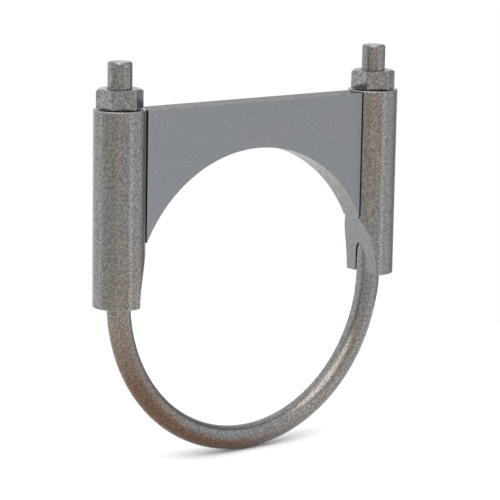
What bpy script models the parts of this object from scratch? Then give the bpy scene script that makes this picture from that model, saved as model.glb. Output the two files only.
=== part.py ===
"""Heavy-duty exhaust clamp: a round-rod U-bolt, its saddle and two hex nuts.

The origin is the centre of the clamped pipe, midway between the two legs. The pipe runs along
Y, the legs stand along Z with their threaded ends up, and the left leg is at -X.
"""
import math

import bmesh
import bpy
from mathutils import Vector

MM = 0.001

# Driving dimensions.
PIPE_DIAMETER = 120 * MM
PIPE_CLEARANCE = 0.75 * MM  # between the pipe and each leg
ROD_DIAMETER = 10 * MM
LEG_TOP_Z = 97.2 * MM
THREAD_PITCH = 1.5 * MM
THREAD_DEPTH = 0.9 * MM
THREAD_CLEARANCE = 0.25 * MM  # radial, between the stud's thread and the nut's
THREAD_START_Z = 68.5 * MM
THREAD_RUN_OUT = 1.5 * MM
STUD_CHAMFER = 1.1 * MM

PLATE_THICKNESS = 5.15 * MM  # the sheet that the saddle is folded from
FOLD_GAP = 0.3 * MM  # left between the web's two layers
SLEEVE_BORE = 11 * MM
SADDLE_BOTTOM_Z = -1.8 * MM
SADDLE_TOP_Z = 78.2 * MM
SLEEVE_CHAMFER = 0.5 * MM
WEB_TOP_DROP = 0.6 * MM  # the web's top lies this far under the sleeves' tops
ARCH_RADIUS = 62.2 * MM
ARCH_CENTRE_Z = -4.1 * MM

NUT_ACROSS_FLATS = 17 * MM
NUT_HEIGHT = 8 * MM
NUT_SEAT_GAP = 0.3 * MM
NUT_MOUTH_RADIUS = 5.4 * MM
NUT_FACE_RATIO = 0.95  # diameter of the nut's round top face over its width across flats
NUT_CHAMFER_SLOPE = math.tan(math.radians(30))
LEFT_NUT_TURN = math.radians(38)  # direction of one corner of the hexagon
RIGHT_NUT_TURN = math.radians(36)

# Fineness of the faceted solids.
THREAD_SEGMENTS = 18
BEND_STEPS = 32
SLEEVE_SEGMENTS = 48
BORE_SEGMENTS = 32
ARCH_SEGMENTS = 160

# Derived sizes.
ROD_RADIUS = ROD_DIAMETER / 2
LEG_X = PIPE_DIAMETER / 2 + PIPE_CLEARANCE + ROD_RADIUS
SLEEVE_RADIUS = SLEEVE_BORE / 2 + PLATE_THICKNESS
WEB_THICKNESS = 2 * PLATE_THICKNESS + FOLD_GAP
NUT_BOTTOM_Z = SADDLE_TOP_Z + NUT_SEAT_GAP
NUT_TOP_Z = NUT_BOTTOM_Z + NUT_HEIGHT

# One turn of the thread from a crest up to the next: height in pitches, depth below the crest.
CREST_HALF_WIDTH = 1 / 16
THREAD_PROFILE = (
    (-CREST_HALF_WIDTH, 0.0),
    (CREST_HALF_WIDTH, 0.0),
    (0.5, THREAD_DEPTH),
)
SNAP = 0.03 * MM  # a thread point this close to a flat end is put on it
WELD = 0.001 * MM


def clear_scene():
    for old in list(bpy.data.objects):
        bpy.data.objects.remove(old, do_unlink=True)


def steel(name, colour, roughness, metallic):
    material = bpy.data.materials.new(name)
    material.use_nodes = True
    shader = material.node_tree.nodes["Principled BSDF"]
    shader.inputs["Base Color"].default_value = (*colour, 1.0)
    shader.inputs["Roughness"].default_value = roughness
    shader.inputs["Metallic"].default_value = metallic
    return material


def finished_object(name, bm, material, origin=(0.0, 0.0, 0.0), crease_degrees=35):
    """Turn a bmesh in world coordinates into an object whose origin is at the given point."""
    bmesh.ops.remove_doubles(bm, verts=bm.verts, dist=WELD)
    bmesh.ops.recalc_face_normals(bm, faces=bm.faces)
    bmesh.ops.translate(bm, verts=bm.verts, vec=-Vector(origin))
    mesh = bpy.data.meshes.new(name)
    bm.to_mesh(mesh)
    bm.free()
    mesh.shade_smooth()
    mesh.set_sharp_from_angle(angle=math.radians(crease_degrees))
    mesh.materials.append(material)
    obj = bpy.data.objects.new(name, mesh)
    obj.location = origin
    bpy.context.scene.collection.objects.link(obj)
    return obj


def bridge(bm, lower, upper):
    """Join two rings of equally many vertices with quads."""
    count = len(lower)
    for i in range(count):
        j = (i + 1) % count
        bm.faces.new((lower[i], lower[j], upper[j], upper[i]))


def level_ring(bm, axis_x, z, radius, segments):
    step = 2 * math.pi / segments
    return [
        bm.verts.new((axis_x + radius * math.cos(i * step), radius * math.sin(i * step), z))
        for i in range(segments)
    ]


def add_thread(bm, axis_x, z_low, z_high, radius_at):
    """Skin a right-hand helical thread that runs out into a flat ring at each end.

    radius_at(depth, z) gives the radius of a profile point. Both end rings are returned.
    """
    last_turn = math.ceil(z_high / THREAD_PITCH) + 1
    rows = []
    for turn in range(math.floor(z_low / THREAD_PITCH) - 2, last_turn + 1):
        for height, depth in THREAD_PROFILE:
            row = []
            for i in range(THREAD_SEGMENTS):
                share = i / THREAD_SEGMENTS
                z = THREAD_PITCH * (turn + height + share)
                z = z_low if z < z_low + SNAP else z_high if z > z_high - SNAP else z
                radius = radius_at(depth, z)
                angle = 2 * math.pi * share
                row.append(
                    bm.verts.new((axis_x + radius * math.cos(angle), radius * math.sin(angle), z))
                )
            rows.append(row)
    per_turn = len(THREAD_PROFILE)
    for k in range(len(rows) - 1):
        for i in range(THREAD_SEGMENTS - 1):
            bm.faces.new((rows[k][i], rows[k][i + 1], rows[k + 1][i + 1], rows[k + 1][i]))
        # The last column meets the first one a whole turn higher up.
        if k + 1 + per_turn < len(rows):
            nearer, farther = rows[k + per_turn][0], rows[k + 1 + per_turn][0]
            bm.faces.new((rows[k][-1], nearer, farther, rows[k + 1][-1]))
    return rows[0], rows[-1]


def stud_radius(depth, z):
    """Radius of the stud's thread, with its run-out below and its chamfer at the tip."""
    faded = min(max((z - THREAD_START_Z) / THREAD_RUN_OUT, 0.0), 1.0)
    chamfered = ROD_RADIUS - STUD_CHAMFER + (LEG_TOP_Z - z)
    return min(ROD_RADIUS - depth * faded, chamfered)


def nut_thread_radius(depth, z):
    """Radius of the nut's thread, which widens to a countersunk mouth at both faces."""
    from_face = min(z - NUT_BOTTOM_Z, NUT_TOP_Z - z)
    return max(ROD_RADIUS + THREAD_CLEARANCE - depth, NUT_MOUTH_RADIUS - from_face)


def bent_rod_rings(bm):
    """Rings of the plain rod, from the left leg's thread round the bend to the right leg's."""
    stations = [(-LEG_X, THREAD_START_Z, math.pi)]
    for k in range(BEND_STEPS + 1):
        around = math.pi + math.pi * k / BEND_STEPS
        stations.append((LEG_X * math.cos(around), LEG_X * math.sin(around), around))
    stations.append((LEG_X, THREAD_START_Z, 2 * math.pi))
    rings = []
    for x, z, around in stations:
        ring = []
        for i in range(THREAD_SEGMENTS):
            angle = 2 * math.pi * i / THREAD_SEGMENTS
            outward = ROD_RADIUS * math.cos(angle)
            ring.append(
                bm.verts.new(
                    (
                        x + outward * math.cos(around),
                        ROD_RADIUS * math.sin(angle),
                        z + outward * math.sin(around),
                    )
                )
            )
        rings.append(ring)
    return rings


def make_u_bolt(material):
    bm = bmesh.new()
    rings = bent_rod_rings(bm)
    for lower, upper in zip(rings, rings[1:]):
        bridge(bm, lower, upper)
    for axis_x in (-LEG_X, LEG_X):
        _, tip = add_thread(bm, axis_x, THREAD_START_Z, LEG_TOP_Z, stud_radius)
        bm.faces.new(tip)
    return finished_object("u_bolt", bm, material)


def hexagon_radius(angle_from_corner):
    return NUT_ACROSS_FLATS / 2 / math.cos(math.radians(30) - angle_from_corner % math.radians(60))


def make_nut(name, axis_x, turn, material):
    """Hex nut with a chamfered top; one corner of its hexagon points along the angle turn."""
    bm = bmesh.new()
    bottom_mouth, top_mouth = add_thread(bm, axis_x, NUT_BOTTOM_Z, NUT_TOP_Z, nut_thread_radius)
    step = 2 * math.pi / THREAD_SEGMENTS
    face_radius = NUT_FACE_RATIO * NUT_ACROSS_FLATS / 2
    first_angle = turn - round(turn / step) * step
    top_face, upper_edge, lower_edge = [], [], []
    for i in range(THREAD_SEGMENTS):
        angle = first_angle + i * step
        across = hexagon_radius(round((angle - turn) / step) * step)
        along = Vector((math.cos(angle), math.sin(angle), 0.0))
        axis = Vector((axis_x, 0.0, 0.0))
        edge_z = NUT_TOP_Z - (across - face_radius) * NUT_CHAMFER_SLOPE
        top_face.append(bm.verts.new(axis + along * face_radius + Vector((0, 0, NUT_TOP_Z))))
        upper_edge.append(bm.verts.new(axis + along * across + Vector((0, 0, edge_z))))
        lower_edge.append(bm.verts.new(axis + along * across + Vector((0, 0, NUT_BOTTOM_Z))))
    bridge(bm, top_mouth, top_face)
    bridge(bm, top_face, upper_edge)
    bridge(bm, upper_edge, lower_edge)
    bridge(bm, lower_edge, bottom_mouth)
    return finished_object(name, bm, material, (axis_x, 0.0, NUT_BOTTOM_Z), crease_degrees=15)


def cylinder(name, axis_x, z_low, z_high, radius, segments, chamfer=0.0, material=None):
    """Closed upright cylinder, with an optional 45 degree chamfer at both ends."""
    bm = bmesh.new()
    profile = [(z_low, radius - chamfer), (z_high, radius - chamfer)]
    if chamfer:
        profile[1:1] = [(z_low + chamfer, radius), (z_high - chamfer, radius)]
    rings = [level_ring(bm, axis_x, z, r, segments) for z, r in profile]
    for lower, upper in zip(rings, rings[1:]):
        bridge(bm, lower, upper)
    bm.faces.new(rings[0])
    bm.faces.new(rings[-1])
    return finished_object(name, bm, material)


def arch_cutter():
    """Cylinder along Y that cuts the saddle's arch."""
    bm = bmesh.new()
    step = 2 * math.pi / ARCH_SEGMENTS
    rings = []
    for y in (-2 * SLEEVE_RADIUS, 2 * SLEEVE_RADIUS):
        rings.append(
            [
                bm.verts.new(
                    (
                        ARCH_RADIUS * math.sin(i * step),
                        y,
                        ARCH_CENTRE_Z + ARCH_RADIUS * math.cos(i * step),
                    )
                )
                for i in range(ARCH_SEGMENTS)
            ]
        )
    bridge(bm, rings[0], rings[1])
    bm.faces.new(rings[0])
    bm.faces.new(rings[1])
    return finished_object("arch_cutter", bm, None)


def web_plate(material):
    """Flat plate between the legs; its foot ends inside the sleeves' walls, beside the arch."""
    bm = bmesh.new()
    bmesh.ops.create_cube(bm, size=1.0)
    foot_z = 10 * MM
    top_z = SADDLE_TOP_Z - WEB_TOP_DROP
    bmesh.ops.scale(bm, verts=bm.verts, vec=(2 * LEG_X, WEB_THICKNESS, top_z - foot_z))
    bmesh.ops.translate(bm, verts=bm.verts, vec=(0, 0, (top_z + foot_z) / 2))
    return finished_object("saddle", bm, material)


def combine(target, operation, tool):
    """Add a Boolean modifier and keep its tool as a hidden wire guide."""
    modifier = target.modifiers.new(f"{operation.lower()}_{tool.name}", "BOOLEAN")
    modifier.operation = operation
    modifier.solver = "EXACT"
    modifier.object = tool
    tool.hide_render = True
    tool.display_type = "WIRE"


def make_saddle(material):
    """Web and sleeves as one piece, with the legs' bores and the pipe's arch cut through."""
    saddle = web_plate(material)
    over = 5 * MM
    for side, axis_x in (("left", -LEG_X), ("right", LEG_X)):
        sleeve = cylinder(f"{side}_sleeve_blank", axis_x, SADDLE_BOTTOM_Z, SADDLE_TOP_Z,
                          SLEEVE_RADIUS, SLEEVE_SEGMENTS, SLEEVE_CHAMFER, material)
        combine(saddle, "UNION", sleeve)
    for side, axis_x in (("left", -LEG_X), ("right", LEG_X)):
        bore = cylinder(f"{side}_bore_cutter", axis_x, SADDLE_BOTTOM_Z - over,
                        SADDLE_TOP_Z + over, SLEEVE_BORE / 2, BORE_SEGMENTS)
        combine(saddle, "DIFFERENCE", bore)
    combine(saddle, "DIFFERENCE", arch_cutter())
    return saddle


def main():
    clear_scene()
    rod_steel = steel("rod_steel", (0.27, 0.26, 0.25), 0.5, 0.9)
    plate_steel = steel("plate_steel", (0.25, 0.26, 0.28), 0.55, 0.8)
    nut_steel = steel("nut_steel", (0.28, 0.27, 0.26), 0.5, 0.9)
    make_u_bolt(rod_steel)
    saddle = make_saddle(plate_steel)
    for name, axis_x, turn in (
        ("left_nut", -LEG_X, LEFT_NUT_TURN),
        ("right_nut", LEG_X, RIGHT_NUT_TURN),
    ):
        make_nut(name, axis_x, turn, nut_steel).parent = saddle


main()
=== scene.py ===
"""Looks of the exhaust clamp: a plated rod bent into a U, its saddle and its two hex nuts.

Everything is in metres in the frame of the CAD model: the pipe's centre is the origin, the legs
stand along Z, the pipe runs along Y and the left leg is at -X.
"""

import math

import bmesh
import bpy
from mathutils import Matrix, Vector


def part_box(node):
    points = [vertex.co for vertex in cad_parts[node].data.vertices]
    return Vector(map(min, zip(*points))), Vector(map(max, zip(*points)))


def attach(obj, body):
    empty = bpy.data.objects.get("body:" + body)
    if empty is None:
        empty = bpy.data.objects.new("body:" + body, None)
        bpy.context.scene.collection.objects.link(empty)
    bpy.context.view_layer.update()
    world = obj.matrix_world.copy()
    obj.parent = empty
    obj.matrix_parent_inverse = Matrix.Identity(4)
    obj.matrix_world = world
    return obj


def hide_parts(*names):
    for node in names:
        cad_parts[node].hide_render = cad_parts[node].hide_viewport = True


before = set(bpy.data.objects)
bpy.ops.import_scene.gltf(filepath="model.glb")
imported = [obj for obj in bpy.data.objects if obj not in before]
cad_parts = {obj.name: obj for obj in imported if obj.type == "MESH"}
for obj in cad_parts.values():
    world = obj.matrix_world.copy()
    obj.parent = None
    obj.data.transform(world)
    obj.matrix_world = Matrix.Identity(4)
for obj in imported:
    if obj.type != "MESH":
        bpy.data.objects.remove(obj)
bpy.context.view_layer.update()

MM = 0.001

# Places and sizes that come from the frame.
rod_low, rod_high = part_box("u_bolt")
saddle_low, saddle_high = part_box("saddle")
nut_low, nut_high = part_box("left_nut")
SLEEVE_RADIUS = saddle_high.y
LEG_X = saddle_high.x - SLEEVE_RADIUS
ROD_RADIUS = rod_high.x - LEG_X
STUD_TOP = rod_high.z
SADDLE_BOTTOM, SADDLE_TOP = saddle_low.z, saddle_high.z
NUT_BOTTOM, NUT_TOP = nut_low.z, nut_high.z

# Sizes of the saddle, as in the CAD part.
WEB_HALF = 5.3 * MM
WEB_TOP = SADDLE_TOP - 0.6 * MM
ARCH_RADIUS = 62.2 * MM
ARCH_CENTRE = -4.1 * MM
BORE_RADIUS = 5.5 * MM
# Section of the groove between the web and a sleeve: (out from the sleeve, deep in the web).
GROOVE = ((0.0, 1.4 * MM), (0.17 * MM, 1.4 * MM), (0.66 * MM, 0.35 * MM), (0.89 * MM, 0.0))
GROOVE_FLOOR = WEB_TOP - GROOVE[0][1]

# Edges of the saddle that bend more than this are rounded: a sleeve's outer top edge fully, the
# other rims and the web's top edges less, and the arch's edges least.
ROUNDED_BEND = math.radians(40)
RIM_ROUNDING = 0.45 * MM
SLEEVE_TOP_SHARE = 1.0
RIM_SHARE = 0.6
ARCH_SHARE = 0.5

# The thread is shallow, as if its valleys were filled with plating.
PITCH = 1.5 * MM
THREAD_START = 68.5 * MM
THREAD_RUN_OUT = 1.5 * MM
THREAD_DEPTH = 0.045 * MM
THREAD_GAP = 0.12 * MM
TIP_CHAMFER = 0.7 * MM

NUT_FLAT_RADIUS = 8.5 * MM
NUT_FACE_RADIUS = 8.08 * MM
NUT_CHAMFER_SLOPE = math.tan(math.radians(30))
NUT_CORNER_WEAR = math.radians(1.4)
NUT_EDGE_WEAR = 0.2 * MM
NUT_MOUTH_RADIUS = 5.5 * MM
NUT_TURNS = {"left_nut": math.radians(38), "right_nut": math.radians(36)}

# Fineness of the meshes, how near points weld or count as touching, and where shading creases.
ROD_STEPS = 64
NUT_STEPS = 144
ROWS_PER_PITCH = 8
BEND_STEPS = 128
WALL_STEPS = 12
SLOT_STEPS = 8
FAR_STEPS = 72
BAND_STEPS = 8
ARCH_STEPS = 96
RIM_SEGMENTS = 3
WELD = 0.002 * MM
TOUCHING = 0.01 * MM
CREASE = math.radians(30)


# ---------------------------------------------------------------- mesh helpers

def add_rows(bm, rows, material=0, closed=False):
    """Skin rows of equally many points with quads; closed joins each row's ends."""
    grid = [[bm.verts.new(point) for point in row] for row in rows]
    for lower, upper in zip(grid, grid[1:]):
        count = len(lower)
        for i in range(count if closed else count - 1):
            j = (i + 1) % count
            bm.faces.new((lower[i], lower[j], upper[j], upper[i])).material_index = material


def add_face(bm, points, material=0):
    bm.faces.new([bm.verts.new(point) for point in points]).material_index = material


def finished_piece(name, bm, materials, body):
    """Weld a closed skin into an object that rides on a body and stands for its CAD node."""
    bmesh.ops.remove_doubles(bm, verts=bm.verts, dist=WELD)
    bmesh.ops.recalc_face_normals(bm, faces=bm.faces)
    mesh = bpy.data.meshes.new(name)
    bm.to_mesh(mesh)
    bm.free()
    mesh.shade_smooth()
    mesh.set_sharp_from_angle(angle=CREASE)
    for material in materials:
        mesh.materials.append(material)
    piece = bpy.data.objects.new(name, mesh)
    bpy.context.scene.collection.objects.link(piece)
    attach(piece, body)
    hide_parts(body)
    return piece


def circle_point(axis_x, radius, angle, z):
    return (axis_x + radius * math.cos(angle), radius * math.sin(angle), z)


def level_row(axis_x, radius, z, steps):
    return [circle_point(axis_x, radius, 2 * math.pi * i / steps, z) for i in range(steps)]


def thread_rows(axis_x, z_low, z_high, radius_at, steps):
    """Rows of a right-hand thread; each row climbs one pitch from its first point to its last.

    radius_at(wave, z) gives the radius, where wave is 0 on a crest and 1 in a valley.
    """
    # The turns reach past both ends, and points beyond an end are held on it.
    first_turn = math.floor(z_low / PITCH) - 2
    last_turn = math.ceil(z_high / PITCH) + 1
    rows = []
    for k in range((last_turn - first_turn) * ROWS_PER_PITCH + 1):
        turns_up = first_turn + k / ROWS_PER_PITCH
        wave = 0.5 - 0.5 * math.cos(2 * math.pi * k / ROWS_PER_PITCH)
        row = []
        for i in range(steps + 1):
            share = i / steps
            z = min(max(PITCH * (turns_up + share), z_low), z_high)
            row.append(circle_point(axis_x, radius_at(wave, z), 2 * math.pi * share, z))
        rows.append(row)
    return rows


# ---------------------------------------------------------------- the bent rod

def stud_radius(wave, z):
    """The stud's thread, with its run-out below and its chamfer at the tip."""
    faded = min(max((z - THREAD_START) / THREAD_RUN_OUT, 0.0), 1.0)
    chamfered = ROD_RADIUS - TIP_CHAMFER + (STUD_TOP - z)
    return min(ROD_RADIUS - THREAD_DEPTH * wave * faded, chamfered)


def rod_row(x, z, around):
    """Ring round the rod's centreline, where around is the place's angle on the bend."""
    row = []
    for i in range(ROD_STEPS):
        angle = 2 * math.pi * i / ROD_STEPS
        outward = ROD_RADIUS * math.cos(angle)
        row.append((
            x + outward * math.cos(around),
            ROD_RADIUS * math.sin(angle),
            z + outward * math.sin(around),
        ))
    return row


def make_rod(materials):
    bm = bmesh.new()
    rows = [rod_row(-LEG_X, THREAD_START, math.pi)]
    for k in range(BEND_STEPS + 1):
        around = math.pi * (1 + k / BEND_STEPS)
        rows.append(rod_row(LEG_X * math.cos(around), LEG_X * math.sin(around), around))
    rows.append(rod_row(LEG_X, THREAD_START, 2 * math.pi))
    add_rows(bm, rows, closed=True)
    for axis_x in (-LEG_X, LEG_X):
        add_rows(bm, thread_rows(axis_x, THREAD_START, STUD_TOP, stud_radius, ROD_STEPS))
        add_face(bm, level_row(axis_x, ROD_RADIUS - TIP_CHAMFER, STUD_TOP, ROD_STEPS))
    return finished_piece("bent_rod", bm, materials, "u_bolt")


# ---------------------------------------------------------------- the nuts

def hexagon_radius(angle_from_corner):
    """Polar radius of the nut's outline, whose corners are slightly worn."""
    sixth = math.radians(60)
    from_corner = (angle_from_corner + sixth / 2) % sixth - sixth / 2
    worn = min(math.hypot(from_corner, NUT_CORNER_WEAR), sixth / 2)
    return NUT_FLAT_RADIUS / math.cos(sixth / 2 - worn)


def nut_thread_radius(wave, z):
    """The nut's thread, which widens to a countersunk mouth at both faces."""
    from_face = min(z - NUT_BOTTOM, NUT_TOP - z)
    return max(ROD_RADIUS + THREAD_GAP - THREAD_DEPTH * wave, NUT_MOUTH_RADIUS - from_face)


def make_nut(name, body, axis_x, materials):
    """Hex nut with a chamfered top, worn edges and a flat underside."""
    bm = bmesh.new()
    angles = [2 * math.pi * i / NUT_STEPS for i in range(NUT_STEPS)]
    outline = [hexagon_radius(angle - NUT_TURNS[body]) for angle in angles]

    def outline_row(inset, z_at):
        return [
            circle_point(axis_x, radius - inset, angle, z_at(radius - inset))
            for angle, radius in zip(angles, outline)
        ]

    def chamfer_z(radius):
        return NUT_TOP - (radius - NUT_FACE_RADIUS) * NUT_CHAMFER_SLOPE

    # A worn edge has one row between its two ends, this far in and this far down.
    wear = NUT_EDGE_WEAR
    between_in = 0.3 * wear
    between_down = 0.2 * wear
    rows = [
        level_row(axis_x, NUT_MOUTH_RADIUS, NUT_TOP, NUT_STEPS),
        level_row(axis_x, NUT_FACE_RADIUS - wear, NUT_TOP, NUT_STEPS),
        level_row(axis_x, NUT_FACE_RADIUS, NUT_TOP - between_down, NUT_STEPS),
        outline_row(wear, chamfer_z),
        outline_row(between_in, lambda radius: chamfer_z(radius) - between_down),
        outline_row(0.0, lambda radius: chamfer_z(radius) - wear),
        outline_row(0.0, lambda radius: NUT_BOTTOM + wear),
        outline_row(between_in, lambda radius: NUT_BOTTOM + between_in),
        outline_row(wear, lambda radius: NUT_BOTTOM),
        level_row(axis_x, NUT_MOUTH_RADIUS, NUT_BOTTOM, NUT_STEPS),
    ]
    add_rows(bm, rows, closed=True)
    add_rows(bm, thread_rows(axis_x, NUT_BOTTOM, NUT_TOP, nut_thread_radius, NUT_STEPS))
    return finished_piece(name, bm, materials, body)


# ---------------------------------------------------------------- the saddle

# The saddle's materials, in the order of its slots; the last is the rounding's.
# Painted light: the rim's plating is lighter, a painted highlight; the groove's, the bore's and
# the top's are darker, painted shade.
SADDLE_LOOKS = ("sleeve", "web", "cut", "foot", "shaded_groove", "shaded_bore", "top", "rim")
SLEEVE, WEB, CUT_EDGE, FOOT, GROOVE_SHADE, BORE_SHADE, TOP_SHADE, RIM_HIGHLIGHT = range(len(SADDLE_LOOKS))


def spread(start, end, steps):
    return [start + (end - start) * i / steps for i in range(steps + 1)]


def arch_z(x):
    """Height of the arch's cut at x."""
    return ARCH_CENTRE + math.sqrt(max(ARCH_RADIUS**2 - x**2, 0.0))


def around_leg(side, radius, turn, z=None):
    """Point at a turn round a leg, counted from its inner side; z=None puts it on the arch."""
    x = LEG_X - radius * math.cos(turn)
    return (side * x, radius * math.sin(turn), arch_z(x) if z is None else z)


# Where the arch meets the flat bottom, and the turns of the outline's corners round a leg.
ARCH_END_X = math.sqrt(ARCH_RADIUS**2 - (SADDLE_BOTTOM - ARCH_CENTRE) ** 2)
GROOVE_TURNS = [math.asin((WEB_HALF - deep) / (SLEEVE_RADIUS + out)) for out, deep in GROOVE]
SLEEVE_TURN = GROOVE_TURNS[0]
SLOT_TURN = math.acos(BORE_RADIUS / SLEEVE_RADIUS)
BORE_END_TURN = math.acos((LEG_X - ARCH_END_X) / BORE_RADIUS)

# Turns of the columns round a leg: from the groove to the slot, then beside the slot on the bore
# and on the sleeve, then round the leg's far side on the bore and on the sleeve.
WALL_TURNS = spread(SLEEVE_TURN, SLOT_TURN, WALL_STEPS)
SLOT_BORE_TURNS = spread(0.0, BORE_END_TURN, SLOT_STEPS)
SLOT_TURNS = [math.acos(BORE_RADIUS * math.cos(t) / SLEEVE_RADIUS) for t in SLOT_BORE_TURNS]
FAR_BORE_TURNS = spread(BORE_END_TURN, 2 * math.pi - BORE_END_TURN, FAR_STEPS)
FAR_TURNS = spread(SLOT_TURNS[-1], 2 * math.pi - SLOT_TURNS[-1], FAR_STEPS)


def mirrored(turns):
    """The same turns behind the leg, in the order that goes on round it."""
    return [2 * math.pi - turn for turn in reversed(turns)]


def add_sleeve_wall(bm, side):
    """Outside of a sleeve: full columns, and the short band that stands above the groove."""
    on_arch = WALL_TURNS + SLOT_TURNS[1:]
    for turns, bottom in (
        (on_arch, None),
        (FAR_TURNS, SADDLE_BOTTOM),
        (mirrored(on_arch), None),
    ):
        rows = [
            [around_leg(side, SLEEVE_RADIUS, turn, z) for turn in turns]
            for z in (bottom, GROOVE_FLOOR, SADDLE_TOP)
        ]
        add_rows(bm, rows, SLEEVE)
    band = spread(-SLEEVE_TURN, SLEEVE_TURN, BAND_STEPS)
    rows = [
        [around_leg(side, SLEEVE_RADIUS, turn, z) for turn in band]
        for z in (GROOVE_FLOOR, SADDLE_TOP)
    ]
    add_rows(bm, rows, SLEEVE)


def add_bore(bm, side):
    """The bore ends on the arch beside the slot, and on the flat bottom round its far side."""
    near = spread(-BORE_END_TURN, BORE_END_TURN, 2 * SLOT_STEPS)
    # The bore's wall gets a near-black plating: painted shade inside the sleeve.
    for turns, bottom in ((near, None), (FAR_BORE_TURNS, SADDLE_BOTTOM)):
        rows = [
            [around_leg(side, BORE_RADIUS, turn, z) for turn in turns]
            for z in (bottom, SADDLE_TOP)
        ]
        add_rows(bm, rows, BORE_SHADE)


def add_sleeve_ends(bm, side):
    """The C-shaped foot of a sleeve, and its top in a front and a back half."""
    foot = [
        [around_leg(side, SLEEVE_RADIUS, turn, SADDLE_BOTTOM) for turn in FAR_TURNS],
        [around_leg(side, BORE_RADIUS, turn, SADDLE_BOTTOM) for turn in FAR_BORE_TURNS],
    ]
    add_rows(bm, foot, SLEEVE)
    half = slice(1, FAR_STEPS // 2 + 1)
    half_band = spread(0.0, SLEEVE_TURN, BAND_STEPS // 2)
    outer = half_band + WALL_TURNS[1:] + SLOT_TURNS[1:] + FAR_TURNS[half]
    inner = SLOT_BORE_TURNS + FAR_BORE_TURNS[half]
    for facing in (-1, 1):
        rim = [around_leg(side, SLEEVE_RADIUS, facing * turn, SADDLE_TOP) for turn in outer]
        hole = [around_leg(side, BORE_RADIUS, facing * turn, SADDLE_TOP) for turn in inner]
        add_face(bm, rim + hole[::-1], SLEEVE)


def groove_corner(side, facing, k, z=None):
    """Corner k of the groove's section, on the front (-1) or the back (1) of the web."""
    out, _ = GROOVE[k]
    return around_leg(side, SLEEVE_RADIUS + out, facing * GROOVE_TURNS[k], z)


def add_groove(bm, side):
    """The groove runs up the web's front, over its top beside the sleeve and down its back."""
    levels = [WEB_TOP - deep for _, deep in GROOVE]
    # The groove's faces get a dark plating: painted shade in the crease.
    for k in range(len(GROOVE) - 1):
        for facing in (-1, 1):
            rows = [
                [groove_corner(side, facing, i), groove_corner(side, facing, i, levels[i])]
                for i in (k, k + 1)
            ]
            add_rows(bm, rows, GROOVE_SHADE)
        rows = [
            [
                around_leg(side, SLEEVE_RADIUS + GROOVE[i][0], turn, levels[i])
                for turn in spread(-GROOVE_TURNS[i], GROOVE_TURNS[i], BAND_STEPS)
            ]
            for i in (k, k + 1)
        ]
        add_rows(bm, rows, GROOVE_SHADE)


def add_web(bm):
    """The web's top, its front and back, and the band of the arch between them."""
    edge = len(GROOVE) - 1
    edge_radius = SLEEVE_RADIUS + GROOVE[edge][0]
    edge_turns = spread(-GROOVE_TURNS[edge], GROOVE_TURNS[edge], BAND_STEPS)
    top = [
        [around_leg(side, edge_radius, turn, WEB_TOP) for turn in edge_turns]
        for side in (-1, 1)
    ]
    # The web's top gets a darker plating: painted shade.
    add_rows(bm, top, TOP_SHADE)
    edge_x = LEG_X - edge_radius * math.cos(GROOVE_TURNS[edge])
    reach = math.asin(edge_x / ARCH_RADIUS)
    lean = spread(-reach, reach, ARCH_STEPS)
    arches = [
        [(ARCH_RADIUS * math.sin(a), y, ARCH_CENTRE + ARCH_RADIUS * math.cos(a)) for a in lean]
        for y in (-WEB_HALF, WEB_HALF)
    ]
    for arch in arches:
        y = arch[0][1]
        add_face(bm, [*arch, (edge_x, y, WEB_TOP), (-edge_x, y, WEB_TOP)], WEB)
    add_rows(bm, arches, CUT_EDGE)


def add_arch_ends(bm, side):
    """The arch's cut through the groove and the sleeve's wall, which opens the bore low down."""
    front = [groove_corner(side, -1, k) for k in range(len(GROOVE) - 1, 0, -1)]
    front += [around_leg(side, SLEEVE_RADIUS, -turn) for turn in WALL_TURNS]
    back = [(x, -y, z) for x, y, z in front]
    add_rows(bm, [front[:-1], back[:-1]], FOOT)
    slot_top = around_leg(side, BORE_RADIUS, 0.0)
    add_face(bm, [front[-2], front[-1], slot_top, back[-1], back[-2]], FOOT)
    for facing in (-1, 1):
        rows = [
            [around_leg(side, SLEEVE_RADIUS, facing * turn) for turn in SLOT_TURNS],
            [around_leg(side, BORE_RADIUS, facing * turn) for turn in SLOT_BORE_TURNS],
        ]
        add_rows(bm, rows, FOOT)


def edge_softness(a, b):
    """How much of the rounding an edge of the saddle gets, from its two end points."""
    def both(test):
        return test(a) and test(b)

    def from_leg(p):
        return math.hypot(abs(p.x) - LEG_X, p.y)

    def near(value, target):
        return abs(value - target) < TOUCHING

    if both(lambda p: near(p.z, SADDLE_TOP)):
        on_sleeve = both(lambda p: near(from_leg(p), SLEEVE_RADIUS))
        return SLEEVE_TOP_SHARE if on_sleeve else RIM_SHARE
    if both(lambda p: near(p.z, SADDLE_BOTTOM)):
        return RIM_SHARE
    if both(lambda p: near(abs(p.y), WEB_HALF)):
        if both(lambda p: near(p.z, WEB_TOP)):
            return RIM_SHARE
        if both(lambda p: near(math.hypot(p.x, p.z - ARCH_CENTRE), ARCH_RADIUS)):
            return ARCH_SHARE
    return 0.0


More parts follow.
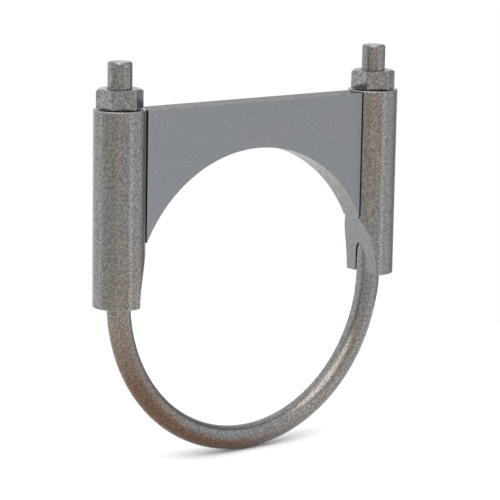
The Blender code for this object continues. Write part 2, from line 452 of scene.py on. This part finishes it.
def make_saddle(materials):
    """The whole saddle; a bevel rounds its rims, and weighted normals keep its faces flat."""
    bm = bmesh.new()
    add_web(bm)
    for side in (-1, 1):
        add_sleeve_wall(bm, side)
        add_bore(bm, side)
        add_sleeve_ends(bm, side)
        add_groove(bm, side)
        add_arch_ends(bm, side)
    bmesh.ops.remove_doubles(bm, verts=bm.verts, dist=WELD)
    softness = bm.edges.layers.float.new("bevel_weight_edge")
    for edge in bm.edges:
        if edge.calc_face_angle(0.0) > ROUNDED_BEND:
            edge[softness] = edge_softness(*(vert.co for vert in edge.verts))
    piece = finished_piece("saddle_body", bm, materials, "saddle")
    bevel = piece.modifiers.new("rim_rounding", "BEVEL")
    bevel.limit_method = "WEIGHT"
    bevel.width = RIM_ROUNDING
    bevel.segments = RIM_SEGMENTS
    bevel.use_clamp_overlap = False
    # The rounding gets a lighter plating: a painted highlight along the rims.
    bevel.material = RIM_HIGHLIGHT
    normals = piece.modifiers.new("flat_faces", "WEIGHTED_NORMAL")
    normals.keep_sharp = True
    return piece


# ---------------------------------------------------------------- materials

def add_node(tree, kind, inputs=(), **settings):
    """Add a node; inputs pairs a socket's name or number with a value or another socket."""
    node = tree.nodes.new(kind)
    for name, value in settings.items():
        setattr(node, name, value)
    for socket, value in dict(inputs).items():
        if isinstance(value, bpy.types.NodeSocket):
            tree.links.new(value, node.inputs[socket])
        else:
            node.inputs[socket].default_value = value
    return node


def noise(tree, coordinates, size, detail):
    """Noise whose blotches are about the given size in metres."""
    inputs = {"Vector": coordinates, "Scale": 1 / size, "Detail": detail}
    return add_node(tree, "ShaderNodeTexNoise", inputs).outputs[0]


def remap(tree, value, low, high, to_low=0.0, to_high=1.0):
    """Stretch low to high over to_low to to_high, and hold the value inside them."""
    inputs = {0: value, 1: low, 2: high, 3: to_low, 4: to_high}
    return add_node(tree, "ShaderNodeMapRange", inputs).outputs[0]


def math_node(tree, operation, a, b):
    return add_node(tree, "ShaderNodeMath", {0: a, 1: b}, operation=operation).outputs[0]


def blend_colour(tree, factor, a, b, mode="MIX"):
    """Mix colour a with b; each is a colour or a socket, and so is the factor or a number."""
    node = tree.nodes.new("ShaderNodeMix")
    node.data_type = "RGBA"
    node.blend_type = mode
    for socket, value in ((node.inputs[0], factor), (node.inputs[6], a), (node.inputs[7], b)):
        if isinstance(value, bpy.types.NodeSocket):
            tree.links.new(value, socket)
        elif isinstance(value, tuple):
            socket.default_value = (*value, 1.0)
        else:
            socket.default_value = value
    return node.outputs[2]


def vector_math(tree, operation, a, b=(0.0, 0.0, 0.0)):
    """A vector operation whose result is a number, such as a distance."""
    node = add_node(tree, "ShaderNodeVectorMath", {0: a, 1: b}, operation=operation)
    return node.outputs["Value"]


# The brown painted reflection on the rod: its colour and its middle, the distances from the middle
# at which it ends and is full, and the distances from the pipe's centre between which it comes in.
BROWN_REFLECTION = (0.125, 0.078, 0.054)
BROWN_REFLECTION_CENTRE = (-36 * MM, -3 * MM, -54 * MM)
BROWN_REFLECTION_REACH = (64 * MM, 28 * MM)
BROWN_REFLECTION_RADII = (63.8 * MM, 67.2 * MM)


def low_outer_bend(tree, coordinates):
    """How much a point of the rod lies on the outside of the bend, low down on its left."""
    reach = remap(tree, vector_math(tree, "DISTANCE", coordinates, BROWN_REFLECTION_CENTRE), *BROWN_REFLECTION_REACH)
    outside = remap(tree, vector_math(tree, "LENGTH", coordinates), *BROWN_REFLECTION_RADII)
    return math_node(tree, "MULTIPLY", reach, outside)


# Every plating has the same broad patches and the same fine grain; its grit has its own size.
# A detail is the noise's number of octaves. A spread is the part of the noise's range that is
# stretched over the whole of 0 to 1.
PATCH_SIZE, PATCH_DETAIL, PATCH_SPREAD = 40 * MM, 2.0, (0.4, 0.6)
GRIT_DETAIL, GRIT_SPREAD = 1.5, (0.33, 0.67)
GRAIN_SIZE, GRAIN_DETAIL, GRAIN_SPREAD = 0.45 * MM, 1.0, (0.3, 0.7)

# The grain's share of the speckle's strength and of the bump, and how far the grit moves the
# roughness either way.
GRAIN_SHADE = 0.3
GRAIN_RELIEF = 0.25
ROUGHNESS_SWING = 0.06


def plated_steel(name, warm, cool, grit_size, speckle, bump, roughness, painted_reflection=False):
    """Dull plated steel: broad warm and cool patches, a gritty speckle and a fine grain."""
    material = bpy.data.materials.new(name)
    material.use_nodes = True
    tree = material.node_tree
    shader = tree.nodes["Principled BSDF"]
    coordinates = add_node(tree, "ShaderNodeTexCoord").outputs["Object"]
    patches = remap(tree, noise(tree, coordinates, PATCH_SIZE, PATCH_DETAIL), *PATCH_SPREAD)
    grit = remap(tree, noise(tree, coordinates, grit_size, GRIT_DETAIL), *GRIT_SPREAD)
    grain = remap(tree, noise(tree, coordinates, GRAIN_SIZE, GRAIN_DETAIL), *GRAIN_SPREAD)
    tint = blend_colour(tree, patches, warm, cool)
    # A brown painted reflection on the low outer bend of the rod.
    if painted_reflection:
        tint = blend_colour(tree, low_outer_bend(tree, coordinates), tint, BROWN_REFLECTION)
    shade = remap(tree, grit, 0.0, 1.0, 1 - speckle, 1 + speckle)
    fine_speckle = GRAIN_SHADE * speckle
    fine = remap(tree, grain, 0.0, 1.0, 1 - fine_speckle, 1 + fine_speckle)
    both = math_node(tree, "MULTIPLY", shade, fine)
    value = add_node(tree, "ShaderNodeCombineColor", {0: both, 1: both, 2: both}).outputs[0]
    colour = blend_colour(tree, 1.0, tint, value, "MULTIPLY")
    tree.links.new(colour, shader.inputs["Base Color"])
    dull, bright = roughness + ROUGHNESS_SWING, roughness - ROUGHNESS_SWING
    tree.links.new(remap(tree, grit, 0.0, 1.0, dull, bright), shader.inputs["Roughness"])
    shader.inputs["Metallic"].default_value = 1.0
    height = math_node(tree, "ADD", grit, math_node(tree, "MULTIPLY", grain, GRAIN_RELIEF))
    inputs = {"Strength": 1.0, "Distance": bump, "Height": height}
    relief = add_node(tree, "ShaderNodeBump", inputs)
    tree.links.new(relief.outputs[0], shader.inputs["Normal"])
    return material


# Each steel: warm and cool tint, grit size, speckle strength, bump height, roughness, and whether
# it gets the brown painted reflection.
STEELS = {
    "rod": ((0.200, 0.182, 0.168), (0.190, 0.194, 0.194), 0.95 * MM, 0.32, 0.013 * MM, 0.22, True),
    "sleeve": ((0.212, 0.196, 0.182), (0.200, 0.204, 0.202), 0.95 * MM, 0.32, 0.013 * MM, 0.20),
    "nut": ((0.208, 0.198, 0.192), (0.202, 0.204, 0.208), 1.0 * MM, 0.36, 0.015 * MM, 0.22),
    "web": ((0.206, 0.214, 0.232), (0.202, 0.213, 0.228), 0.9 * MM, 0.07, 0.006 * MM, 0.42),
    "cut": ((0.218, 0.221, 0.207), (0.205, 0.215, 0.210), 1.0 * MM, 0.18, 0.008 * MM, 0.36),
    "foot": ((0.222, 0.230, 0.246), (0.208, 0.216, 0.224), 1.0 * MM, 0.12, 0.008 * MM, 0.34),
    # Darker plating for the web's top: painted shade.
    "top": ((0.125, 0.114, 0.104), (0.118, 0.114, 0.110), 1.0 * MM, 0.16, 0.01 * MM, 0.4),
    # Lighter plating for the rounded rims: a painted highlight.
    "rim": ((0.270, 0.262, 0.255), (0.262, 0.262, 0.262), 1.0 * MM, 0.22, 0.01 * MM, 0.36),
    # Dark plating for the grooves: painted shade in the crease.
    "shaded_groove": ((0.095, 0.100, 0.115), (0.090, 0.098, 0.112), 0.8 * MM, 0.2, 0.01 * MM, 0.6),
    # Near-black plating for the bores: painted shade inside the sleeves.
    "shaded_bore": ((0.012, 0.012, 0.012), (0.010, 0.010, 0.011), 0.9 * MM, 0.2, 0.01 * MM, 0.7),
}


def make_materials():
    return {name: plated_steel(f"{name}_plating", *look) for name, look in STEELS.items()}


# ---------------------------------------------------------------- stage, light and camera

# The studio's walls as the metal sees them: angle round Z from +X in degrees, then colour.
WALL_TINTS = (
    (-180, (0.94, 0.91, 0.89)),
    (-158, (0.92, 0.88, 0.85)),
    (-140, (0.90, 0.87, 0.83)),
    (-124, (1.24, 1.06, 0.91)),
    (-110, (0.96, 0.91, 0.85)),
    (-99, (1.10, 1.09, 1.06)),
    (-86, (0.88, 0.86, 0.86)),
    (-71, (1.72, 1.72, 1.74)),
    (-56, (1.06, 1.07, 1.10)),
    (-39, (1.25, 1.26, 1.28)),
    (-20, (1.08, 1.06, 1.02)),
    (8, (0.42, 0.44, 0.49)),
    (30, (0.50, 0.53, 0.58)),
    (60, (1.15, 1.17, 1.20)),
    (110, (1.20, 1.23, 1.24)),
    (145, (1.42, 1.45, 1.45)),
    (165, (0.98, 0.97, 0.96)),
    (180, (0.94, 0.91, 0.89)),
)

# The ceiling's colour, and the heights of a unit direction between which it comes in.
CEILING = (1.25, 1.25, 1.25)
CEILING_RISE = (0.45, 0.9)

# The floor is small, so that upright faces reflect the walls instead of the floor.
FLOOR_GAP = 0.2 * MM
FLOOR_HALF = 250 * MM
FLOOR_COLOUR = (0.9, 0.9, 0.9)
FLOOR_ROUGHNESS = 0.9
FLOOR_SPECULAR = 0.1

# A broad soft sun from above and the front left.
KEY_STRENGTH = 1.4
KEY_ANGLE = math.radians(60)
KEY_TOWARDS = Vector((-0.45, -0.35, 1.0))

# The camera stands in front (-Y), turned round Z towards the left leg; the lens is in millimetres.
CAMERA_AZIMUTH = math.radians(-37.617)
CAMERA_ELEVATION = math.radians(10.926)
CAMERA_ROLL = math.radians(0.975)
CAMERA_DISTANCE = 1.00919
CAMERA_TARGET = Vector((0.454, -0.35, 14.377)) * MM
CAMERA_LENS = 173.72
CAMERA_CLIP = (0.05, 50.0)


def make_floor():
    bm = bmesh.new()
    z = rod_low.z - FLOOR_GAP
    corners = ((-1, -1), (1, -1), (1, 1), (-1, 1))
    add_face(bm, [(FLOOR_HALF * x, FLOOR_HALF * y, z) for x, y in corners])
    mesh = bpy.data.meshes.new("floor")
    bm.to_mesh(mesh)
    bm.free()
    floor = bpy.data.objects.new("floor", mesh)
    bpy.context.scene.collection.objects.link(floor)
    material = bpy.data.materials.new("floor_white")
    material.use_nodes = True
    shader = material.node_tree.nodes["Principled BSDF"]
    shader.inputs["Base Color"].default_value = (*FLOOR_COLOUR, 1.0)
    shader.inputs["Roughness"].default_value = FLOOR_ROUGHNESS
    shader.inputs["Specular IOR Level"].default_value = FLOOR_SPECULAR
    mesh.materials.append(material)


def make_world():
    """White to the camera; softly tinted walls and a bright ceiling to everything else."""
    world = bpy.data.worlds.new("studio")
    bpy.context.scene.world = world
    world.use_nodes = True
    tree = world.node_tree
    tree.nodes.clear()
    direction = add_node(tree, "ShaderNodeTexCoord").outputs["Generated"]
    split = add_node(tree, "ShaderNodeSeparateXYZ", {0: direction})
    angle = math_node(tree, "ARCTAN2", split.outputs[1], split.outputs[0])
    place = remap(tree, angle, -math.pi, math.pi)
    ramp = add_node(tree, "ShaderNodeValToRGB", {0: place})
    elements = ramp.color_ramp.elements
    for k, (degrees, tint) in enumerate(WALL_TINTS):
        where = (degrees + 180) / 360
        element = elements[k] if k in (0, 1) else elements.new(where)
        element.position = where
        element.color = (*tint, 1.0)
    upward = remap(tree, split.outputs[2], *CEILING_RISE)
    walls = blend_colour(tree, upward, ramp.outputs[0], CEILING)
    seen = add_node(tree, "ShaderNodeLightPath").outputs["Is Camera Ray"]
    colour = blend_colour(tree, seen, walls, (1.0, 1.0, 1.0))
    background = add_node(tree, "ShaderNodeBackground", {0: colour, 1: 1.0})
    output = add_node(tree, "ShaderNodeOutputWorld")
    tree.links.new(background.outputs[0], output.inputs[0])


def make_key_light():
    light = bpy.data.lights.new("key", "SUN")
    light.energy = KEY_STRENGTH
    light.angle = KEY_ANGLE
    lamp = bpy.data.objects.new("key", light)
    lamp.rotation_euler = KEY_TOWARDS.to_track_quat("Z", "Y").to_euler()
    bpy.context.scene.collection.objects.link(lamp)


def make_camera():
    back = Vector((
        math.sin(CAMERA_AZIMUTH) * math.cos(CAMERA_ELEVATION),
        -math.cos(CAMERA_AZIMUTH) * math.cos(CAMERA_ELEVATION),
        math.sin(CAMERA_ELEVATION),
    ))
    data = bpy.data.cameras.new("camera")
    data.lens = CAMERA_LENS
    data.clip_start, data.clip_end = CAMERA_CLIP
    camera = bpy.data.objects.new("camera", data)
    upright = (-back).to_track_quat("-Z", "Y").to_matrix().to_4x4()
    camera.matrix_world = (
        Matrix.Translation(CAMERA_TARGET + back * CAMERA_DISTANCE)
        @ upright
        @ Matrix.Rotation(CAMERA_ROLL, 4, "Z")
    )
    bpy.context.scene.collection.objects.link(camera)
    bpy.context.scene.camera = camera


# ---------------------------------------------------------------- the scene

steel = make_materials()
make_rod([steel["rod"]])
make_saddle([steel[look] for look in SADDLE_LOOKS])
make_nut("left_hex_nut", "left_nut", -LEG_X, [steel["nut"]])
make_nut("right_hex_nut", "right_nut", LEG_X, [steel["nut"]])
make_floor()
make_world()
make_key_light()
make_camera()
bpy.context.scene.view_settings.view_transform = "Standard"
